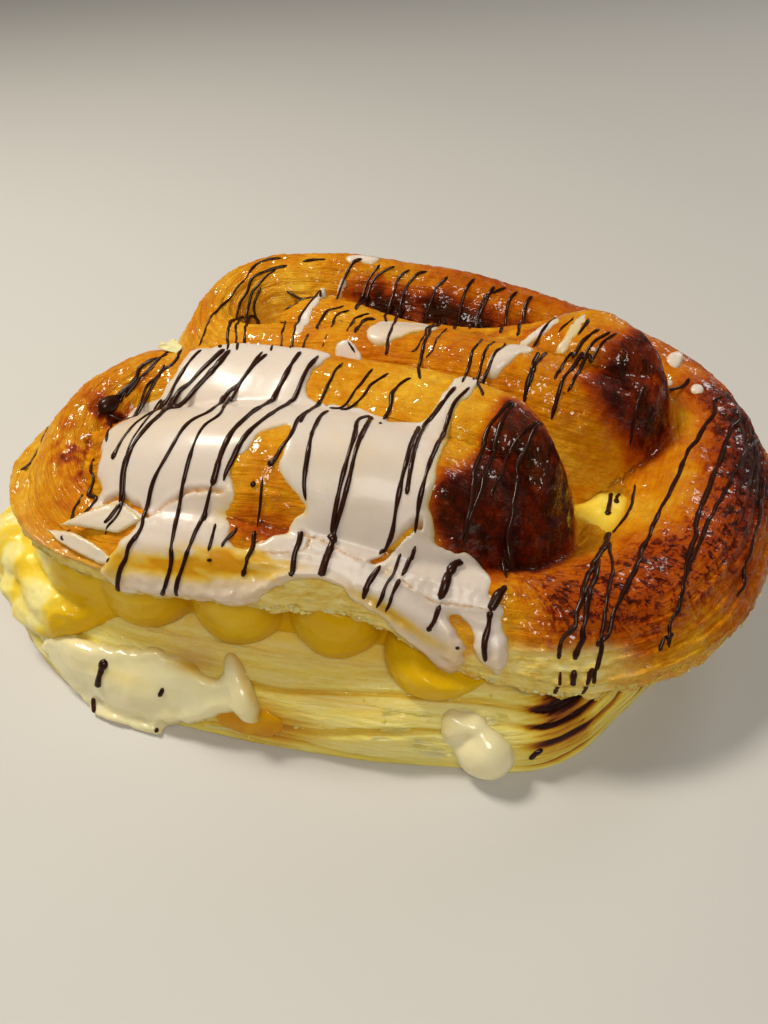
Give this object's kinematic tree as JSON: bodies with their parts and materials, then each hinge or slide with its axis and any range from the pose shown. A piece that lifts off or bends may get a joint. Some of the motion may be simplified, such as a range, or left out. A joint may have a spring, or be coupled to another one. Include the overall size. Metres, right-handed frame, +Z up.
{
  "type": "cream palmier",
  "caption": "Double-lobed flaky pastry scroll cut level in two and filled with piped custard cream, topped with white icing and a dark chocolate drizzle",
  "frame": {"origin": "centre of the footprint, on the surface that the pastry rests on", "axes": "+X from the open ends of the two lobes to the spine that joins them, +Y from the front lobe to the back lobe, +Z up"},
  "size_m": [0.1816, 0.1262, 0.0563],
  "materials": {
    "pastry_crumb": "pale yellow layered puff pastry crumb, dry, browned at the bottom edge and dark brown at the spine end",
    "custard_cream": "soft pale yellow custard cream, smooth and faintly glossy",
    "glazed_crust": "golden orange to dark mahogany baked crust with fine flaky ridges under a clear syrup glaze",
    "white_icing": "off-white sugar icing, satin with soft highlights",
    "dark_chocolate": "dark brown set chocolate, glossy",
    "syrup": "clear amber sugar syrup"
  },
  "bodies": {
    "root": {"base_pastry": "pastry_crumb", "cream_filling": "custard_cream", "top_pastry": "glazed_crust", "icing_blob": "white_icing"}
  },
  "joints": []
}
